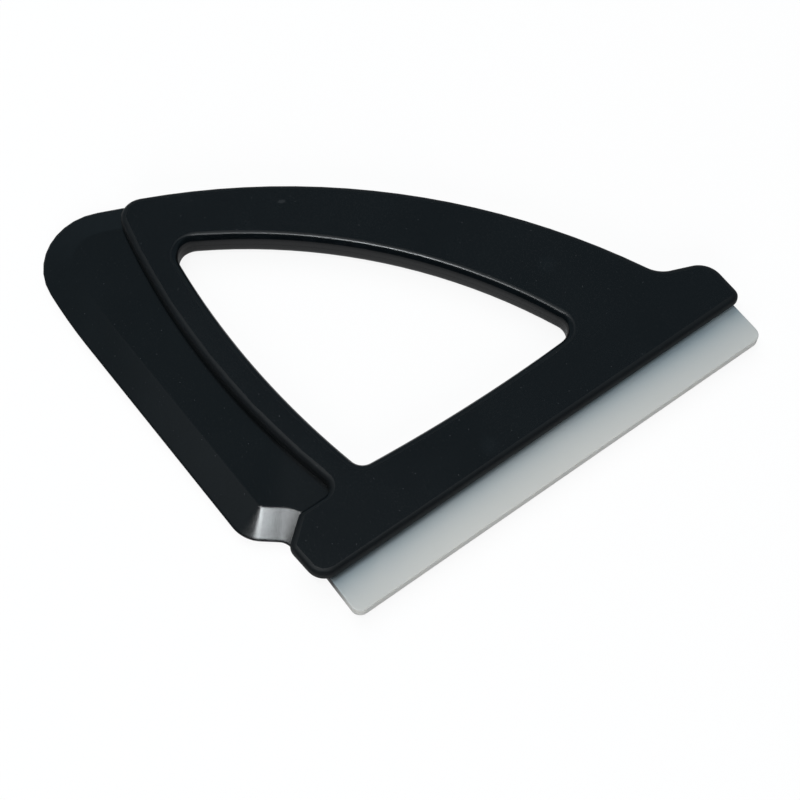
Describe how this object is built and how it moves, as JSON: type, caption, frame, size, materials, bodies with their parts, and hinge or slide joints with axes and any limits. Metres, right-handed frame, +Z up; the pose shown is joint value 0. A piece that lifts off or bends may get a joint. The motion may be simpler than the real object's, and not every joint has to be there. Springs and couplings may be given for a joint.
{
  "type": "ice scraper",
  "caption": "Flat hand-held ice scraper: a fan-shaped black frame with a triangular hand opening, a long pale blade along its front and a wide bevelled black blade along its side.",
  "frame": {"origin": "middle of the object's box, on the plane of the flat underside", "axes": "+X along the pale blade from its left end to its right end, +Y from the pale blade's scraping edge back to the handle's tip, +Z up out of the frame's top face"},
  "size_m": [0.1278, 0.121, 0.0077],
  "materials": {
    "black_plastic": "fine satin moulded black",
    "black_blade_plastic": "satin moulded black",
    "pale_plastic": "smooth pale grey, slightly milky",
    "screw_steel": "zinc plated"
  },
  "bodies": {
    "root": {"upper_shell": "black_plastic", "lower_shell": "black_plastic", "pale_scraper_blade": "pale_plastic", "black_bevelled_blade": "black_blade_plastic", "screw_bar_left": "screw_steel", "screw_bar_middle": "screw_steel", "screw_bar_right": "screw_steel", "screw_handle_low": "screw_steel", "screw_handle_high": "screw_steel"}
  },
  "joints": []
}
